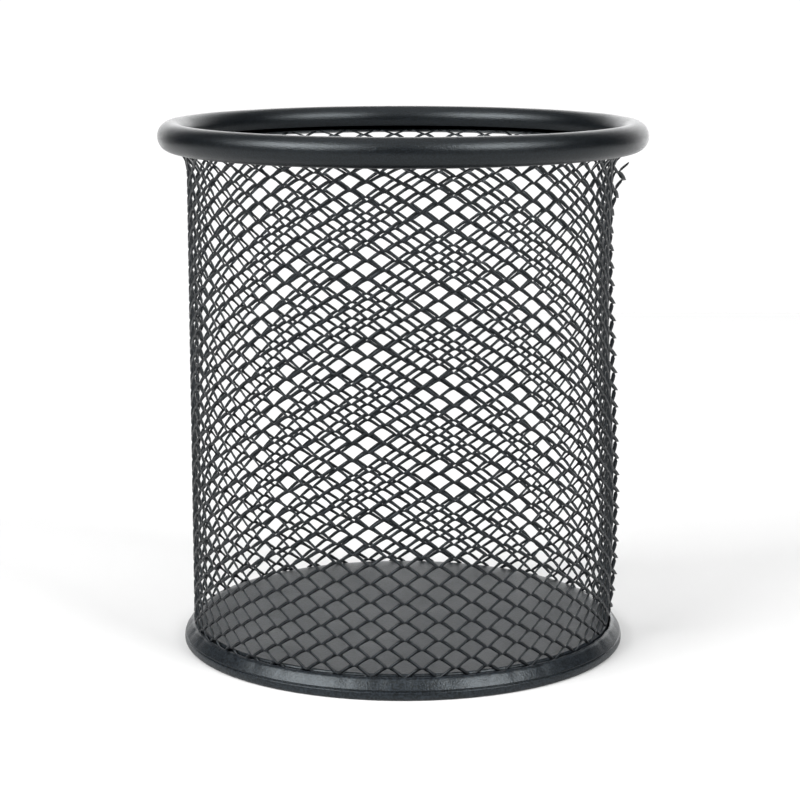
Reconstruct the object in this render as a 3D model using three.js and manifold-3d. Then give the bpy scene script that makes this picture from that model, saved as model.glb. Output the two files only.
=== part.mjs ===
// Mesh pen holder cup: a rolled steel rim, an expanded-steel wall and a pressed steel base pan.
// Millimetres, +Z up. The origin is the centre of the foot ring, on the desk.
import * as THREE from "three";
import { mergeGeometries, mergeVertices } from "three/addons/utils/BufferGeometryUtils.js";
import Module from "manifold-3d";

const wasm = await Module();
wasm.setup();

const FULL_TURN = 2 * Math.PI;

// Overall size of the cup.
const CUP_HEIGHT = 100;
const RIM_OUTER_RADIUS = 46;
const ROUND_SEGMENTS = 72;

// Rim: an oval steel tube rolled into a ring, left open in a slot that grips the wall's top edge.
const RIM_HALF_WIDTH = 2.5;
const RIM_HALF_HEIGHT = 2.7;
const RIM_SHEET = 0.5;
const RIM_SLOT_END_DEG = 247.5;
const RIM_SLOT_START_DEG = 202.5;
const RIM_ARC_STEPS = 14;

// Wall: one sheet of expanded steel rolled into a cylinder, flared where it enters its neighbours.
const WALL_RADIUS = 39.65;
const WALL_THICKNESS = 0.6;
const WALL_BOTTOM = 1.2;
const WALL_BOTTOM_FLARE = 0.45;
const WALL_BOTTOM_FLARE_TOP = 3.6;
const WALL_STRAIGHT_START = 5.6;
const WALL_STRAIGHT_END = 88;
const WALL_TOP_FLARE = [
  new THREE.Vector2(0.25, 91),
  new THREE.Vector2(0.7, 93.2),
  new THREE.Vector2(1.45, 94.9),
  new THREE.Vector2(2.45, 96.1),
];

// Openings in the wall: diamonds in staggered columns, wider than they are tall.
const OPENING_COLUMNS = 18;
const OPENING_PITCH_RATIO = 0.55;
const OPENING_WIDTH_SHARE = 0.69;
const OPENING_HEIGHT_SHARE = 0.87;
const OPENINGS_START = 5;
const OPENINGS_END = 94.3;
const CUTTER_DEPTH = 10;

// Base pan: a raised floor, a channel that holds the wall's bottom edge, and a crimped outer band.
const PAN_SHEET = 0.6;
const FLOOR_TOP = 4.2;
const FLOOR_RADIUS = 38.9;
const FLOOR_EDGE_RADIUS = 39.4;
const FLOOR_EDGE_DROP = 0.5;
const BAND_RADIUS = 42.45;
const BAND_TOP = 1.5;
const FOOT_EDGE = 0.4;
const LIP_RADIUS = 41.15;
const LIP_TOP = 3.6;
const LIP_ROUND = 0.25;

const BLACK_COAT = { color: 0x24262a, roughness: 0.42, metalness: 0.3 };
const FLOOR_COAT = { color: 0x3c3f43, roughness: 0.55, metalness: 0.3 };

// Turns a closed profile of (radius, height) points about the cup's axis.
function turned(profile, segments) {
  const geometry = new THREE.LatheGeometry(profile, segments);
  geometry.rotateX(Math.PI / 2);
  return geometry;
}

// The same shape with only positions, and with its shared corners joined.
function joined(geometry) {
  const bare = new THREE.BufferGeometry();
  bare.setAttribute("position", geometry.getAttribute("position"));
  bare.setIndex(geometry.getIndex());
  return mergeVertices(bare, 1e-4);
}

function toSolid(geometry) {
  const closed = joined(geometry);
  return new wasm.Manifold(new wasm.Mesh({
    numProp: 3,
    vertProperties: new Float32Array(closed.getAttribute("position").array),
    triVerts: new Uint32Array(closed.getIndex().array),
  }));
}

function toGeometry(solid) {
  const mesh = solid.getMesh();
  const geometry = new THREE.BufferGeometry();
  geometry.setAttribute("position", new THREE.BufferAttribute(new Float32Array(mesh.vertProperties), 3));
  geometry.setIndex(new THREE.BufferAttribute(new Uint32Array(mesh.triVerts), 1));
  geometry.computeVertexNormals();
  return geometry;
}

// One point of the rim's oval section, set in by the given distance.
function rimPoint(degrees, inset) {
  const angle = THREE.MathUtils.degToRad(degrees);
  const centreRadius = RIM_OUTER_RADIUS - RIM_HALF_WIDTH;
  const centreHeight = CUP_HEIGHT - RIM_HALF_HEIGHT;
  return new THREE.Vector2(
    centreRadius + (RIM_HALF_WIDTH - inset) * Math.cos(angle),
    centreHeight + (RIM_HALF_HEIGHT - inset) * Math.sin(angle),
  );
}

// The rim's section runs from the slot's outer lip, over the top, to its inner lip and back inside.
function makeRim() {
  const sweep = RIM_SLOT_START_DEG + 360 - RIM_SLOT_END_DEG;
  const outside = [];
  const inside = [];
  for (let i = 0; i <= RIM_ARC_STEPS; i += 1) {
    const degrees = RIM_SLOT_END_DEG + (sweep * i) / RIM_ARC_STEPS;
    outside.push(rimPoint(degrees, 0));
    inside.unshift(rimPoint(degrees, RIM_SHEET));
  }
  const profile = [...outside, ...inside, outside[0].clone()];
  return turned(profile, ROUND_SEGMENTS);
}

// The wall as a plain thin shell, before its openings are cut.
function wallShell() {
  const middle = [
    new THREE.Vector2(WALL_BOTTOM_FLARE, WALL_BOTTOM),
    new THREE.Vector2(WALL_BOTTOM_FLARE, WALL_BOTTOM_FLARE_TOP),
    new THREE.Vector2(0, WALL_STRAIGHT_START),
    new THREE.Vector2(0, WALL_STRAIGHT_END),
    ...WALL_TOP_FLARE,
  ];
  const half = WALL_THICKNESS / 2;
  const outside = middle.map((p) => new THREE.Vector2(WALL_RADIUS + p.x + half, p.y));
  const inside = middle.map((p) => new THREE.Vector2(WALL_RADIUS + p.x - half, p.y)).reverse();
  const profile = [...outside, ...inside, outside[0].clone()];
  return turned(profile, 2 * OPENING_COLUMNS);
}

// One diamond prism that points out from the axis at the given angle and height.
function openingCutter(angle, height, halfWidth, halfHeight) {
  const diamond = new THREE.Shape([
    new THREE.Vector2(halfWidth, 0),
    new THREE.Vector2(0, halfHeight),
    new THREE.Vector2(-halfWidth, 0),
    new THREE.Vector2(0, -halfHeight),
  ]);
  const prism = new THREE.ExtrudeGeometry(diamond, { depth: CUTTER_DEPTH, bevelEnabled: false });
  prism.translate(0, 0, WALL_RADIUS - CUTTER_DEPTH / 2);
  const outward = new THREE.Vector3(Math.cos(angle), Math.sin(angle), 0);
  const sideways = new THREE.Vector3(-Math.sin(angle), Math.cos(angle), 0);
  const upward = new THREE.Vector3(0, 0, 1);
  const turn = new THREE.Matrix4().makeBasis(sideways, upward, outward);
  turn.setPosition(0, 0, height);
  prism.applyMatrix4(turn);
  return joined(prism);
}

function makeWall() {
  const pitch = (FULL_TURN * WALL_RADIUS) / OPENING_COLUMNS;
  const rowPitch = pitch * OPENING_PITCH_RATIO;
  const halfWidth = (pitch * OPENING_WIDTH_SHARE) / 2;
  const halfHeight = (rowPitch * OPENING_HEIGHT_SHARE) / 2;
  const cutters = [];
  for (let column = 0; column < 2 * OPENING_COLUMNS; column += 1) {
    const angle = (FULL_TURN * column) / (2 * OPENING_COLUMNS);
    const stagger = column % 2 === 0 ? 0 : rowPitch / 2;
    let height = OPENINGS_START + halfHeight + stagger;
    while (height + halfHeight <= OPENINGS_END) {
      cutters.push(openingCutter(angle, height, halfWidth, halfHeight));
      height += rowPitch;
    }
  }
  const shell = toSolid(wallShell());
  return toGeometry(shell.subtract(toSolid(mergeGeometries(cutters))));
}

// The pan's section runs over the floor, down into the channel, up the band and back underneath.
function makeBasePan() {
  const profile = [
    new THREE.Vector2(0, FLOOR_TOP),
    new THREE.Vector2(FLOOR_RADIUS, FLOOR_TOP),
    new THREE.Vector2(FLOOR_EDGE_RADIUS, FLOOR_TOP - FLOOR_EDGE_DROP),
    new THREE.Vector2(FLOOR_EDGE_RADIUS, PAN_SHEET),
    new THREE.Vector2(BAND_RADIUS - PAN_SHEET, PAN_SHEET),
    new THREE.Vector2(BAND_RADIUS - PAN_SHEET, BAND_TOP),
    new THREE.Vector2(LIP_RADIUS - PAN_SHEET / 2, LIP_TOP - LIP_ROUND),
    new THREE.Vector2(LIP_RADIUS - LIP_ROUND / 2, LIP_TOP),
    new THREE.Vector2(LIP_RADIUS + LIP_ROUND, LIP_TOP - LIP_ROUND),
    new THREE.Vector2(BAND_RADIUS - LIP_ROUND / 2, BAND_TOP),
    new THREE.Vector2(BAND_RADIUS, FOOT_EDGE),
    new THREE.Vector2(BAND_RADIUS - FOOT_EDGE, 0),
    new THREE.Vector2(FLOOR_EDGE_RADIUS - PAN_SHEET, 0),
    new THREE.Vector2(FLOOR_EDGE_RADIUS - PAN_SHEET, FLOOR_TOP - PAN_SHEET - FLOOR_EDGE_DROP),
    new THREE.Vector2(FLOOR_RADIUS - PAN_SHEET, FLOOR_TOP - PAN_SHEET),
    new THREE.Vector2(0, FLOOR_TOP - PAN_SHEET),
  ];
  return turned(profile.reverse(), ROUND_SEGMENTS);
}

function piece(name, geometry, coat) {
  const mesh = new THREE.Mesh(geometry, new THREE.MeshStandardMaterial(coat));
  mesh.name = name;
  return mesh;
}

const cup = new THREE.Group();
cup.add(piece("rim", makeRim(), BLACK_COAT));
cup.add(piece("mesh_wall", makeWall(), BLACK_COAT));
cup.add(piece("base_pan", makeBasePan(), FLOOR_COAT));

export default cup;
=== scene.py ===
"""Looks for the mesh pen holder cup: a rolled rim, a wall of fine expanded steel and a pressed base pan."""
import math

import bpy
import numpy as np
from mathutils import Matrix, Vector


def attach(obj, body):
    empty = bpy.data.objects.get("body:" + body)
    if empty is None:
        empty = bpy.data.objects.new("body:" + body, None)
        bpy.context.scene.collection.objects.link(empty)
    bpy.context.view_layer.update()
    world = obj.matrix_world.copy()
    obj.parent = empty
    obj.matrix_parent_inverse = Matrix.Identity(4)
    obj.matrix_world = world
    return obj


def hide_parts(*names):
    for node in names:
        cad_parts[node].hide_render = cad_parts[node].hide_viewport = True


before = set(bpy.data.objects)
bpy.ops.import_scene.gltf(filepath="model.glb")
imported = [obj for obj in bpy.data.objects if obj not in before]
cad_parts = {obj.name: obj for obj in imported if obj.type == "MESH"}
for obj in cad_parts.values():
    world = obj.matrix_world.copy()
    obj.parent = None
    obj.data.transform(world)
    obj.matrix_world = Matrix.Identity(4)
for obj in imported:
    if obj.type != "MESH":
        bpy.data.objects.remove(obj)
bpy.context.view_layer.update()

MM = 0.001
FULL_TURN = 2 * math.pi

# Camera: where the cup is seen from, its tilt below level, its small turn and its focal length in widths.
CAMERA_PLACE = (-1.45, -431.9, 128.7)
CAMERA_DOWN_DEG = 10.78
CAMERA_TURN_DEG = 0.115
SENSOR_WIDTH = 36.0
FOCAL_IN_WIDTHS = 2.861
CLIP_RANGE = (0.01, 50.0)

# Rim: the oval tube's section, and the slot that grips the wall.
RIM_OUTER_RADIUS = 46.0
RIM_TOP = 100.0
RIM_HALF_WIDTH = 2.5
RIM_HALF_HEIGHT = 2.7
RIM_SHEET = 0.5
RIM_SLOT_OUTER_DEG = 243.0
RIM_SLOT_INNER_DEG = 206.0
RIM_ARC_STEPS = 52
ROUND_STEPS = 288

# Wall: the lattice of the expanded sheet. Columns are half a pitch apart, and rows fall slowly to the right.
WALL_RADIUS = 39.95
WALL_SHIFT = -0.35
WALL_LEAN = 0.00015
MIDDLE_HEIGHT = 48.0
FRONT_COLUMN_DEG = -89.54
COLUMNS_AROUND = 41.23
ROW_AT_MIDDLE = 13.508
ROW_PITCH = 3.373
ROW_PITCH_SWING = 0.023
ROW_FALL = -0.636
ROW_FALL_SWING = 0.333
ROWS = range(-3, 32)
LOWEST_CORNER = 1.4
HIGHEST_CORNER = 98.2
SHEET_THICKNESS = 0.33
STRAND_TILT_DEG = 51.0
STRAND_OFFSET = 0.23
OPENING_HALF_WIDTH = 2.34
STRAND_SLOPE = 0.77
ARCH_ROUNDNESS = 0.6
SEAM_COLUMN = 21
OVERLAP_COLUMNS = 2
OVERLAP_DROP = 0.65
FLAP_COLUMNS = 1
FLAP_HIGHEST_CORNER = 93.8
WALL_SMOOTH_DEG = 120.0
# The lowest rows lift a little towards the free edge.
RISE_FROM_COLUMN = 4.5
RISE_COLUMNS = 7.0
RISE_BELOW = 36.0
RISE_SLOPE = 0.019

# Wall: how far the sheet stands out at its bottom edge, and where it bends out under the rim.
FLARE_HEIGHTS = (0.8, 3.4, 4.8, 6.5, 88.0, 90.0, 91.7, 93.2, 94.45, 95.1, 96.2, 98.0)
FLARE_AMOUNTS = (0.12, 0.12, 0.12, 0.0, 0.0, 0.0, 0.12, 0.6, 1.45, 2.1, 2.9, 3.4)
# The free edge stands out in a long swell, fullest a quarter of the way up it, and springs out under the rim.
FREE_SWELL = 2.1
FREE_SWELL_START = 3.0
FREE_SWELL_END = 78.0
FREE_SPRING = 4.1
FREE_SPRING_START = 81.0
FREE_SPRING_RISE = 14.5
# Beside the free edge the sheet bows a little outward in its lower half and inward in its upper half.
BOW_OUT = 0.6
BOW_IN = 0.95
BOW_START = 3.5
BOW_CROSSING = 45.5
BOW_END = 97.0
# How many columns the bow and the free edge's bend reach over, and how sharply the free edge bends.
SEAM_BEND = 8.0
FREE_BEND = 1.7
FREE_BEND_POWER = 1.3
# The rows close up where the sheet bends out under the rim, and where its edge is squashed in the channel.
EVEN_HEIGHTS = (-0.8, 3.0, 90.0, 91.84, 95.19, 96.6, 100.4)
SETTLED_HEIGHTS = (0.95, 3.0, 90.0, 91.7, 94.45, 95.1, 97.6)
# The strands are pressed flat where the channel grips them.
FLAT_HEIGHTS = (3.6, 5.2)
FLAT_SHARE = 0.25
# The strands stand further out of the sheet at its free edge.
EDGE_SWELL = 0.9

# Base pan: the pressed floor, the channel and the crimped band.
PAN_SHEET = 0.6
FLOOR_TOP = 4.2
FLOOR_EDGE_RADIUS = 39.9
BAND_RADIUS = 42.45
LIP_RADIUS = 41.15
PAN_STEPS = 660
CORNER_STEPS = 4
LONGEST_REACH = 0.48
FLUTE_DEPTH = 0.2
FLUTE_VARIATION = 0.3
FLUTE_BOTTOM = 1.9
FLUTE_TOP = 4.2
FLUTE_EASE = 1.1
FLUTE_INNER_RADIUS = LIP_RADIUS - 0.9

# Powder coat: its cool highlights, how dark and light its grains are, and the size of its glossier patches.
COOL_TINT = (0.88, 0.96, 1.0)
DARK_GRAIN = 0.15
LIGHT_GRAIN = 2.2
GRAIN_EDGES = (0.38, 0.64)
PATCH_MM = 9.0
PATCH_EDGES = (0.3, 0.7)
PATCH_GLOSS = 0.03

# Stage: the plain floor, in front of a white backdrop.
STAGE_SIDE = 2500.0
STAGE_FRONT = 2500.0
STAGE_BACK = 420.0
STAGE_TONE = 0.60
STAGE_ROUGHNESS = 0.8
STAGE_SHEEN = 0.1

# Studio: the light from each part of the room, where it changes, and the two soft boxes.
BACKDROP_LEVEL = 3.2
BACKDROP_TURN = 0.07
BACKDROP_EDGE = (0.68, 1.02)
PAPER_LEVEL = 1.05
ROOM_LEVEL = 0.04
OVERHEAD_LEVEL = 1.0
OVERHEAD_EDGE = (0.7, 0.95)
LEFT_BOX_WATTS = 70.0
LEFT_BOX_PLACE = (-1364.0, -924.0, 1336.0)
LEFT_BOX_SIZE = (1500.0, 920.0)
RIGHT_BOX_WATTS = 48.0
RIGHT_BOX_PLACE = (1232.0, -1056.0, 1336.0)
RIGHT_BOX_SIZE = (920.0, 920.0)
BOX_AIM = (0.0, 0.0, 60.0)


def new_object(name, points_mm, faces, smooth_deg=40.0):
    """One mesh object from points in millimetres and faces as lists of point numbers."""
    mesh = bpy.data.meshes.new(name)
    mesh.from_pydata((np.asarray(points_mm, float) * MM).tolist(), [], faces)
    mesh.validate()
    mesh.update()
    mesh.polygons.foreach_set("use_smooth", [True] * len(mesh.polygons))
    mesh.set_sharp_from_angle(angle=math.radians(smooth_deg))
    made = bpy.data.objects.new(name, mesh)
    bpy.context.scene.collection.objects.link(made)
    return made


def turned(name, profile, steps, smooth_deg=40.0, dent=None):
    """A closed (radius, height) loop turned about the cup's axis.

    The loop runs anticlockwise, seen with the axis at its left. dent, when given, is the inward push at an
    angle, radius and height.
    """
    count = len(profile)
    points = []
    for a in (FULL_TURN * i / steps for i in range(steps)):
        for r, z in profile:
            out = r - dent(a, r, z) if dent else r
            points.append((out * math.cos(a), out * math.sin(a), z))
    faces = []
    for i in range(steps):
        here, there = i * count, ((i + 1) % steps) * count
        for k in range(count):
            n = (k + 1) % count
            faces.append((here + k, there + k, there + n, here + n))
    return new_object(name, points, faces, smooth_deg)


# ---------------------------------------------------------------- rim

def rim_point(degrees, inset):
    angle = math.radians(degrees)
    return (
        RIM_OUTER_RADIUS - RIM_HALF_WIDTH + (RIM_HALF_WIDTH - inset) * math.cos(angle),
        RIM_TOP - RIM_HALF_HEIGHT + (RIM_HALF_HEIGHT - inset) * math.sin(angle),
    )


def build_rim():
    sweep = RIM_SLOT_INNER_DEG + 360.0 - RIM_SLOT_OUTER_DEG
    angles = [RIM_SLOT_OUTER_DEG + sweep * i / RIM_ARC_STEPS for i in range(RIM_ARC_STEPS + 1)]
    outside = [rim_point(a, 0.0) for a in angles]
    inside = [rim_point(a, RIM_SHEET) for a in reversed(angles)]
    return turned("rim_tube", outside + inside, ROUND_STEPS)


# ---------------------------------------------------------------- wall

def opening_outline():
    """One opening's outline, anticlockwise from its lowest point: a sharp V below and a rounded arch above.

    Each entry is (x, y, lift, lean): lift is the share of STRAND_OFFSET that the edge stands out of the
    sheet, and lean is the sideways direction of the strand's tilt there.
    """
    a = OPENING_HALF_WIDTH
    depth = STRAND_SLOPE * a
    top = STRAND_SLOPE * (math.hypot(a, ARCH_ROUNDNESS) - ARCH_ROUNDNESS)

    def vee(x):
        return -depth + STRAND_SLOPE * abs(x)

    def arch(x):
        return top - STRAND_SLOPE * (math.hypot(x, ARCH_ROUNDNESS) - ARCH_ROUNDNESS)

    right = [
        (0.0, vee(0.0), 1.0, 0.0),
        (0.49, vee(0.49), 1.0, 1.0),
        (1.10, vee(1.10), 1.0, 1.0),
        (1.74, vee(1.74), 0.85, 1.0),
        (a, 0.0, 0.0, 0.0),
        (1.78, arch(1.78), -0.85, -1.0),
        (1.12, arch(1.12), -1.0, -1.0),
        (0.42, arch(0.42), -1.0, -1.0),
        (0.0, arch(0.0), -1.0, 0.0),
    ]
    left = [(-x, y, lift, -lean) for x, y, lift, lean in reversed(right[1:8])]
    return right + left


def smooth_step(value):
    """A soft rise from 0 to 1."""
    t = min(1.0, max(0.0, value))
    return t * t * (3 - 2 * t)


def share_between(value, start, end):
    """How far a value lies from start to end, kept between 0 and 1."""
    return min(1.0, max(0.0, (value - start) / (end - start)))


def free_edge_out(height):
    """How far the sheet stands out of true at its free edge."""
    swell = math.sin(math.pi * math.sqrt(share_between(height, FREE_SWELL_START, FREE_SWELL_END)))
    return FREE_SWELL * swell + FREE_SPRING * smooth_step((height - FREE_SPRING_START) / FREE_SPRING_RISE)


def seam_bow(height):
    """How far the sheet stands out of true just before its free edge."""
    lower = math.sin(math.pi * share_between(height, BOW_START, BOW_CROSSING))
    upper = math.sin(math.pi * share_between(height, BOW_CROSSING, BOW_END))
    return BOW_OUT * lower - BOW_IN * upper


def wall_radius(column, first, height):
    """The sheet's middle radius at a half-pitch column and a height, with its two bent ends."""
    flare = float(np.interp(height, FLARE_HEIGHTS, FLARE_AMOUNTS))
    near = seam_bow(height)
    free = free_edge_out(height)
    bent_from = SEAM_COLUMN - FREE_BEND
    outer = near * smooth_step((column - bent_from + SEAM_BEND) / SEAM_BEND)
    outer += (free - near) * max(0.0, (column - bent_from) / FREE_BEND) ** FREE_BEND_POWER
    inner = (near - OVERLAP_DROP) * smooth_step((first + SEAM_BEND - column) / SEAM_BEND)
    return WALL_RADIUS + flare + outer + inner


def wall_point(column, row):
    """The angle and height of a place in the lattice, counted in half-pitch columns and in rows."""
    angle = math.radians(FRONT_COLUMN_DEG) + column * math.pi / COLUMNS_AROUND
    pitch = ROW_PITCH - ROW_PITCH_SWING * math.sin(angle)
    fall = ROW_FALL * (angle - math.radians(FRONT_COLUMN_DEG)) - ROW_FALL_SWING * math.cos(angle)
    height = MIDDLE_HEIGHT + (row - ROW_AT_MIDDLE) * pitch + fall
    lift = RISE_SLOPE * smooth_step((column - RISE_FROM_COLUMN) / RISE_COLUMNS)
    height += lift * max(0.0, RISE_BELOW - height)
    return angle + WALL_LEAN * math.sin(angle) * (height - MIDDLE_HEIGHT), height


def middle_row(column, row):
    """An opening's middle, counted in rows: odd columns stand half a row higher than even ones."""
    return row + (0.5 if column % 2 else 0.0)


def lattice_openings(first):
    """The (column, row) of each opening in the sheet, column by column."""
    made = []
    for column in range(first, SEAM_COLUMN + 1):
        highest = FLAP_HIGHEST_CORNER if column > SEAM_COLUMN - 2 * FLAP_COLUMNS else HIGHEST_CORNER
        for row in ROWS:
            if LOWEST_CORNER < wall_point(column, middle_row(column, row))[1] < highest:
                made.append((column, row))
    return made


def opening_points(column, row, first, outline):
    """One opening's outline on the rolled sheet: for each place on it, the sheet's outer and inner point."""
    half_pitch = math.pi * WALL_RADIUS / COLUMNS_AROUND
    tilt = math.radians(STRAND_TILT_DEG)
    strand = math.atan(STRAND_SLOPE)
    lean_side = math.sin(tilt) * math.sin(strand)
    lean_down = math.sin(tilt) * math.cos(strand)
    half = SHEET_THICKNESS / 2
    middle = middle_row(column, row)
    made = []
    for x, y, lift, lean in outline:
        for side in (1.0, -1.0):
            across = column + (x + side * half * lean * lean_side) / half_pitch
            angle, height = wall_point(across, middle + (y - side * half * lean_down) / ROW_PITCH)
            height = float(np.interp(height, EVEN_HEIGHTS, SETTLED_HEIGHTS))
            raised = STRAND_OFFSET * float(np.interp(height, FLAT_HEIGHTS, (FLAT_SHARE, 1.0)))
            raised *= 1 + EDGE_SWELL * min(1.0, max(0.0, across - SEAM_COLUMN + 1))
            radius = wall_radius(across, first, height)
            radius += lift * raised + side * half * math.cos(tilt)
            made.append((radius * math.cos(angle) + WALL_SHIFT, radius * math.sin(angle), height))
    return made


def strand_faces(start, ring):
    """The outer faces of the strands between neighbouring openings, and of the crossings where they meet."""
    def corner(column, row, k):
        return start[column, row] + 2 * (k % ring)

    faces = []
    for (column, row) in start:
        below = row if column % 2 else row - 1
        right = (column + 1, below) in start
        left = (column - 1, below) in start
        under = (column, row - 1) in start
        if right:
            for k in range(3):
                faces.append((
                    corner(column, row, 1 + k), corner(column + 1, below, 12 - k),
                    corner(column + 1, below, 11 - k), corner(column, row, 2 + k),
                ))
        if left:
            for k in range(3):
                faces.append((
                    corner(column, row, 15 - k), corner(column, row, 14 - k),
                    corner(column - 1, below, 5 + k), corner(column - 1, below, 4 + k),
                ))
        if right and under:
            faces.append((
                corner(column, row, 0), corner(column, row - 1, 8),
                corner(column, row - 1, 7), corner(column + 1, below, 12),
            ))
            faces.append((corner(column + 1, below, 12), corner(column, row, 1), corner(column, row, 0)))
        if left and under:
            faces.append((
                corner(column - 1, below, 4), corner(column, row - 1, 9),
                corner(column, row - 1, 8), corner(column, row, 0),
            ))
            faces.append((corner(column - 1, below, 4), corner(column, row, 0), corner(column, row, 15)))
    return faces


def thickened(faces):
    """Outer faces closed into a body. Each outer point's inner point is the next one in the list."""
    edges = {}
    for face in faces:
        for i, a in enumerate(face):
            edges[a, face[(i + 1) % len(face)]] = True
    solid = [tuple(face) for face in faces]
    solid += [tuple(p + 1 for p in reversed(face)) for face in faces]
    solid += [(b, a, a + 1, b + 1) for (a, b) in edges if (b, a) not in edges]
    return solid


def build_wall():
    """The expanded sheet as one body: the outlines of its openings, joined by tilted strands."""
    outline = opening_outline()
    first = SEAM_COLUMN - round(2 * COLUMNS_AROUND) - OVERLAP_COLUMNS
    start = {}
    points = []
    for column, row in lattice_openings(first):
        start[column, row] = len(points)
        points += opening_points(column, row, first, outline)
    solid = thickened(strand_faces(start, len(outline)))
    used = sorted({p for face in solid for p in face})
    place = {p: i for i, p in enumerate(used)}
    used_points = [points[p] for p in used]
    used_faces = [tuple(place[p] for p in face) for face in solid]
    return new_object("mesh_wall_sheet", used_points, used_faces, WALL_SMOOTH_DEG)


# ---------------------------------------------------------------- base pan

def rounded(corners, steps):
    """A closed outline of (x, y, reach) corners, each one eased by a curve that starts its reach away."""
    made = []
    count = len(corners)
    for i, (x, y, wanted) in enumerate(corners):
        here = Vector((x, y))
        before = Vector(corners[i - 1][:2]) - here
        after = Vector(corners[(i + 1) % count][:2]) - here
        if wanted <= 0:
            made.append((x, y))
            continue
        reach = min(wanted, before.length * LONGEST_REACH, after.length * LONGEST_REACH)
        a = here + before.normalized() * reach
        b = here + after.normalized() * reach
        for k in range(steps + 1):
            t = k / steps
            p = a * (1 - t) ** 2 + here * 2 * t * (1 - t) + b * t ** 2
            made.append((p.x, p.y))
    return made


def band_dent(angle, radius, height):
    """The shallow flutes pressed into the band where it is closed over the wall's strands."""
    if radius < FLUTE_INNER_RADIUS or not FLUTE_BOTTOM < height < FLUTE_TOP:
        return 0.0
    column = (angle - math.radians(FRONT_COLUMN_DEG)) * COLUMNS_AROUND / math.pi
    wave = 0.5 + 0.5 * math.cos(math.pi * (column - 1.0))
    uneven = 1 - FLUTE_VARIATION + FLUTE_VARIATION * math.sin(3 * angle + 1.0) * math.sin(7 * angle)
    return FLUTE_DEPTH * uneven * wave ** 3 * smooth_step((height - FLUTE_BOTTOM) / FLUTE_EASE)


def build_base_pan():
    under = FLOOR_TOP - PAN_SHEET
    foot_inner = FLOOR_EDGE_RADIUS - PAN_SHEET
    corners = [
        # The floor, and the channel that the wall stands in.
        (0.02, FLOOR_TOP, 0.0),
        (20.0, FLOOR_TOP, 0.0),
        (38.0, FLOOR_TOP, 0.0),
        (FLOOR_EDGE_RADIUS, FLOOR_TOP, 0.55),
        (FLOOR_EDGE_RADIUS, PAN_SHEET, 0.4),
        (BAND_RADIUS - PAN_SHEET, PAN_SHEET, 0.4),
        (BAND_RADIUS - PAN_SHEET, 1.5, 0.3),
        # The lip that closes on the wall, and the band down to its crease.
        (LIP_RADIUS - 0.78, 3.3, 0.1),
        (LIP_RADIUS - 0.78, 3.85, 0.15),
        (LIP_RADIUS - 0.12, 3.66, 0.35),
        (BAND_RADIUS - 0.2, 1.86, 0.08),
        (BAND_RADIUS - 0.36, 1.80, 0.05),
        (BAND_RADIUS - 0.36, 1.62, 0.05),
        # The foot, and the underside of the floor.
        (BAND_RADIUS - 0.08, 1.52, 0.12),
        (BAND_RADIUS, 1.0, 0.2),
        (BAND_RADIUS, 0.4, 0.2),
        (BAND_RADIUS - 0.3, 0.0, 0.3),
        (foot_inner, 0.0, 0.4),
        (foot_inner, under, 0.6),
        (36.0, under, 0.0),
        (0.02, under, 0.0),
    ]
    outline = list(reversed(rounded(corners, CORNER_STEPS)))
    return turned("base_pan_pressing", outline, PAN_STEPS, dent=band_dent)


# ---------------------------------------------------------------- materials

def powder_coat(name, colour, roughness, ior, grain_mm, grain_depth_mm, floor=None):
    """Black powder coat: a fine pebbled skin, speckled with lighter grains, with slight changes in gloss.

    floor, when given, is the (roughness, index of refraction) inside the radius where the pan's floor ends.
    """
    made = bpy.data.materials.new(name)
    made.use_nodes = True
    nodes, links = made.node_tree.nodes, made.node_tree.links
    surface = nodes["Principled BSDF"]
    surface.inputs["Metallic"].default_value = 0.0
    surface.inputs["IOR"].default_value = ior
    surface.inputs["Specular Tint"].default_value = (*COOL_TINT, 1.0)
    place = nodes.new("ShaderNodeTexCoord")

    def noise(size_mm, detail):
        node = nodes.new("ShaderNodeTexNoise")
        node.inputs["Scale"].default_value = 1.0 / (size_mm * MM)
        node.inputs["Detail"].default_value = detail
        links.new(place.outputs["Object"], node.inputs["Vector"])
        return node.outputs["Fac"]

    def spread(source, start, end, low, high):
        node = nodes.new("ShaderNodeMapRange")
        node.inputs["From Min"].default_value = start
        node.inputs["From Max"].default_value = end
        node.inputs["To Min"].default_value = low
        node.inputs["To Max"].default_value = high
        links.new(source, node.inputs["Value"])
        return node.outputs["Result"]

    bump = nodes.new("ShaderNodeBump")
    bump.inputs["Strength"].default_value = 1.0
    bump.inputs["Distance"].default_value = grain_depth_mm * MM
    links.new(noise(grain_mm, 2.0), bump.inputs["Height"])
    links.new(bump.outputs["Normal"], surface.inputs["Normal"])
    tint = nodes.new("ShaderNodeMix")
    tint.data_type = "RGBA"
    tint.inputs[6].default_value = (*[c * DARK_GRAIN for c in colour], 1.0)
    tint.inputs[7].default_value = (*[c * LIGHT_GRAIN for c in colour], 1.0)
    links.new(spread(noise(grain_mm, 1.0), *GRAIN_EDGES, 0.0, 1.0), tint.inputs[0])
    links.new(tint.outputs[2], surface.inputs["Base Color"])
    gloss = nodes.new("ShaderNodeMath")
    gloss.operation = "ADD"
    gloss.inputs[1].default_value = roughness
    links.new(spread(noise(PATCH_MM, 2.0), *PATCH_EDGES, -PATCH_GLOSS, PATCH_GLOSS), gloss.inputs[0])
    links.new(gloss.outputs["Value"], surface.inputs["Roughness"])
    if floor:
        reach = nodes.new("ShaderNodeVectorMath")
        reach.operation = "LENGTH"
        links.new(place.outputs["Object"], reach.inputs[0])
        edge = FLOOR_EDGE_RADIUS * MM
        away = reach.outputs["Value"]
        links.new(spread(away, edge - MM, edge, floor[0], roughness), gloss.inputs[1])
        links.new(spread(away, edge - MM, edge, floor[1], ior), surface.inputs["IOR"])
    return made


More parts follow.
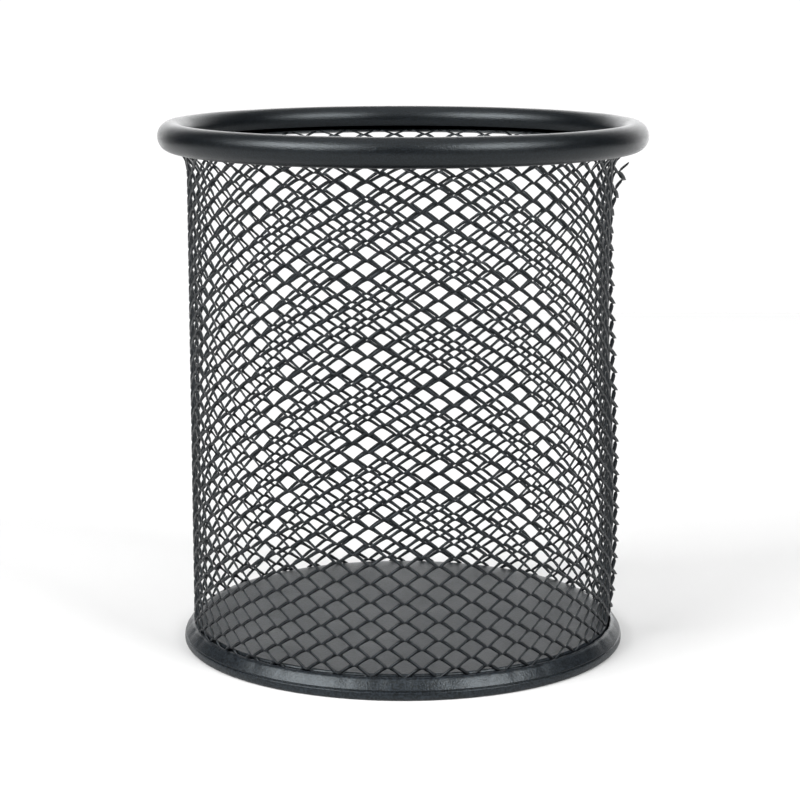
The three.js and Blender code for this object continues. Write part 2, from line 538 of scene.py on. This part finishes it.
def plain(name, colour, roughness, sheen):
    """A plain matt surface."""
    made = bpy.data.materials.new(name)
    made.use_nodes = True
    surface = made.node_tree.nodes["Principled BSDF"]
    surface.inputs["Base Color"].default_value = (*colour, 1.0)
    surface.inputs["Roughness"].default_value = roughness
    surface.inputs["Specular IOR Level"].default_value = sheen
    return made


# ---------------------------------------------------------------- stage, light and camera

def build_floor():
    points = [
        (-STAGE_SIDE, -STAGE_FRONT, 0.0),
        (STAGE_SIDE, -STAGE_FRONT, 0.0),
        (STAGE_SIDE, STAGE_BACK, 0.0),
        (-STAGE_SIDE, STAGE_BACK, 0.0),
    ]
    made = new_object("stage_floor", points, [(0, 1, 2, 3)])
    tone = (STAGE_TONE, STAGE_TONE, STAGE_TONE)
    made.data.materials.append(plain("stage_white", tone, STAGE_ROUGHNESS, STAGE_SHEEN))


def area_light(name, place_mm, size_mm, watts):
    """A rectangular soft box that faces the cup."""
    data = bpy.data.lights.new(name, "AREA")
    data.shape = "RECTANGLE"
    data.size = size_mm[0] * MM
    data.size_y = size_mm[1] * MM
    data.energy = watts
    lamp = bpy.data.objects.new(name, data)
    place = Vector(place_mm) * MM
    aim = Vector(BOX_AIM) * MM - place
    lamp.matrix_world = Matrix.Translation(place) @ aim.to_track_quat("-Z", "Y").to_matrix().to_4x4()
    bpy.context.scene.collection.objects.link(lamp)


def build_world():
    """A bright white backdrop behind the cup, a soft light overhead and a dim room in front."""
    world = bpy.data.worlds.new("studio")
    bpy.context.scene.world = world
    world.use_nodes = True
    nodes, links = world.node_tree.nodes, world.node_tree.links
    sky = nodes["Background"]
    place = nodes.new("ShaderNodeTexCoord")
    parts = nodes.new("ShaderNodeSeparateXYZ")
    links.new(place.outputs["Generated"], parts.inputs["Vector"])

    def ramp(source, start, end, low, high):
        node = nodes.new("ShaderNodeMapRange")
        node.interpolation_type = "SMOOTHSTEP"
        node.inputs["From Min"].default_value = start
        node.inputs["From Max"].default_value = end
        node.inputs["To Min"].default_value = low
        node.inputs["To Max"].default_value = high
        links.new(source, node.inputs["Value"])
        return node.outputs["Result"]

    aim = nodes.new("ShaderNodeVectorMath")
    aim.operation = "DOT_PRODUCT"
    aim.inputs[1].default_value = (BACKDROP_TURN, 1.0, 0.0)
    links.new(place.outputs["Generated"], aim.inputs[0])
    backdrop = ramp(aim.outputs["Value"], *BACKDROP_EDGE, ROOM_LEVEL, BACKDROP_LEVEL)
    overhead = ramp(parts.outputs["Z"], *OVERHEAD_EDGE, 0.0, OVERHEAD_LEVEL)
    level = nodes.new("ShaderNodeMath")
    level.operation = "ADD"
    links.new(backdrop, level.inputs[0])
    links.new(overhead, level.inputs[1])
    seen = nodes.new("ShaderNodeLightPath")
    choice = nodes.new("ShaderNodeMix")
    links.new(seen.outputs["Is Camera Ray"], choice.inputs[0])
    links.new(level.outputs["Value"], choice.inputs[2])
    choice.inputs[3].default_value = PAPER_LEVEL
    links.new(choice.outputs[0], sky.inputs["Strength"])
    sky.inputs["Color"].default_value = (1.0, 1.0, 1.0, 1.0)


def build_camera():
    data = bpy.data.cameras.new("camera")
    data.sensor_width = SENSOR_WIDTH
    data.lens = SENSOR_WIDTH * FOCAL_IN_WIDTHS
    data.clip_start, data.clip_end = CLIP_RANGE
    camera = bpy.data.objects.new("camera", data)
    camera.location = Vector(CAMERA_PLACE) * MM
    camera.rotation_euler = (math.radians(90.0 - CAMERA_DOWN_DEG), 0.0, math.radians(-CAMERA_TURN_DEG))
    bpy.context.scene.collection.objects.link(camera)
    bpy.context.scene.camera = camera


# ---------------------------------------------------------------- putting it together

rim = build_rim()
wall = build_wall()
pan = build_base_pan()

rim_coat = powder_coat(
    "rim_powder", (0.0020, 0.0028, 0.0038), roughness=0.34, ior=1.39, grain_mm=0.26, grain_depth_mm=0.05,
)
mesh_coat = powder_coat(
    "mesh_powder", (0.0042, 0.0050, 0.0062), roughness=0.40, ior=1.42, grain_mm=0.28, grain_depth_mm=0.03,
)
pan_coat = powder_coat(
    "pan_powder", (0.0062, 0.0080, 0.0102), roughness=0.36, ior=1.39, grain_mm=0.34, grain_depth_mm=0.060,
    floor=(0.50, 1.335),
)

for piece, coat, slot, node in (
    (rim, rim_coat, "rim_coat", "rim"),
    (wall, mesh_coat, "mesh_coat", "mesh_wall"),
    (pan, pan_coat, "pan_coat", "base_pan"),
):
    piece.data.materials.append(coat)
    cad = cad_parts[node]
    cad.data.materials.clear()
    cad.data.materials.append(coat)
    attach(piece, "root")
    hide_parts(node)

build_floor()
build_world()
area_light("soft_left", LEFT_BOX_PLACE, LEFT_BOX_SIZE, LEFT_BOX_WATTS)
area_light("soft_right", RIGHT_BOX_PLACE, RIGHT_BOX_SIZE, RIGHT_BOX_WATTS)
build_camera()
bpy.context.scene.view_settings.view_transform = "Standard"
